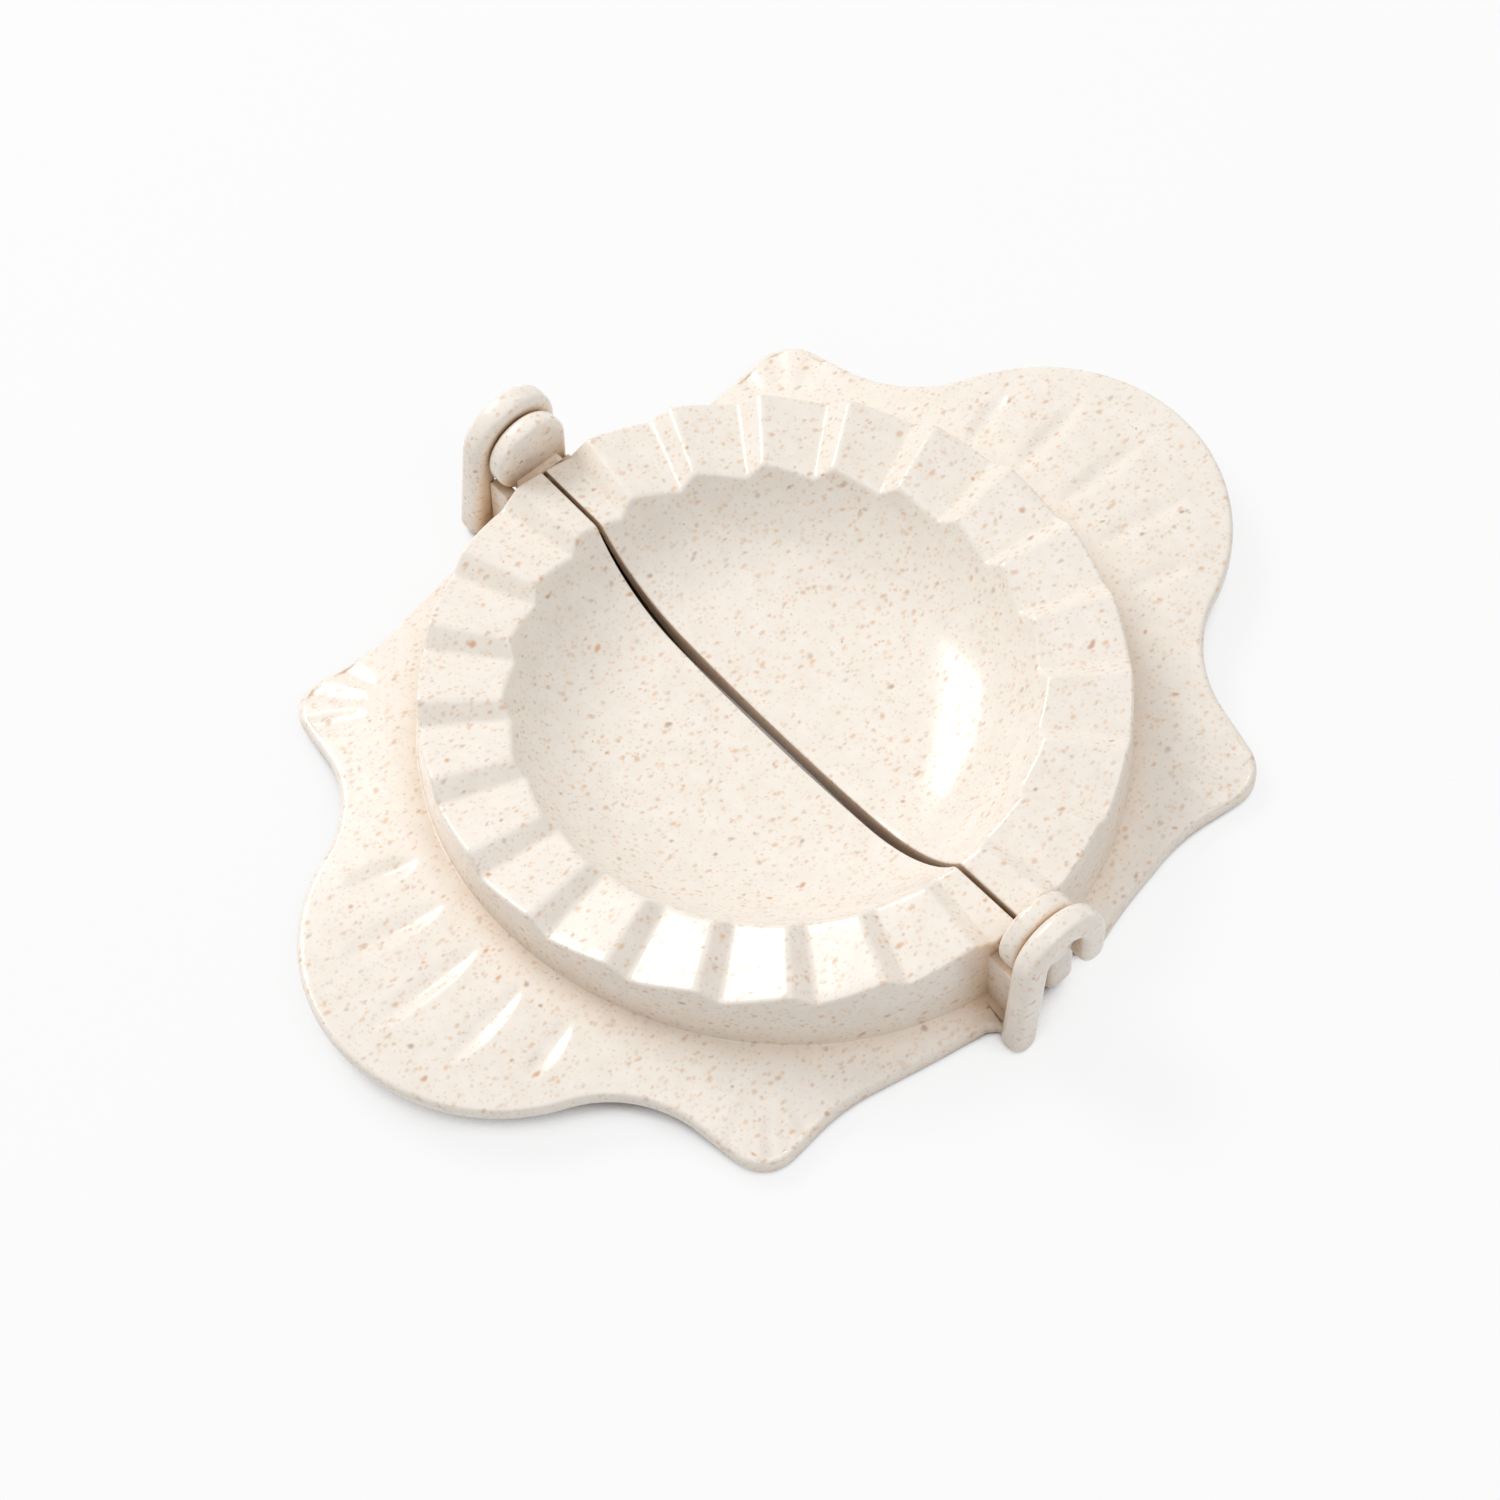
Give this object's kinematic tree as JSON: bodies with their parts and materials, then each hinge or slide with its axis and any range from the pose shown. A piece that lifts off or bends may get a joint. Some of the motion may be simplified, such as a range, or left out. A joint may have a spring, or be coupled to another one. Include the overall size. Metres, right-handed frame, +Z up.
{
  "type": "empanada press",
  "caption": "Hinged hand press in speckled cream plastic: a toothed ring round a shallow bowl, split into halves with scalloped wings, folds dough rounds into crimped half-moons.",
  "frame": {"origin": "on the table under the middle of the hinge line, the bottom centre of the whole press when it lies open", "axes": "+X along the hinge axis, +Y across the halves towards the rear half that carries the pins, +Z up"},
  "size_m": [0.1046, 0.139, 0.022],
  "materials": {
    "wheat_straw_plastic": "semi-gloss, speckled with tan and grey-brown straw fibres"
  },
  "bodies": {
    "front_half": {"front_bowl": "wheat_straw_plastic", "front_crimp_rim": "wheat_straw_plastic", "front_wing": "wheat_straw_plastic", "front_hook_left": "wheat_straw_plastic", "front_hook_right": "wheat_straw_plastic"},
    "rear_half": {"rear_bowl": "wheat_straw_plastic", "rear_crimp_rim": "wheat_straw_plastic", "rear_wing": "wheat_straw_plastic", "rear_pivot_disc_left": "wheat_straw_plastic", "rear_pivot_disc_right": "wheat_straw_plastic", "rear_pivot_pin_left": "wheat_straw_plastic", "rear_pivot_pin_right": "wheat_straw_plastic"}
  },
  "joints": [
    {"name": "fold", "type": "hinge", "parent": "front_half", "child": "rear_half", "pos_m": [0, 0, 0.01545], "axis": [1, 0, 0], "range_deg": [-3, 180]}
  ]
}
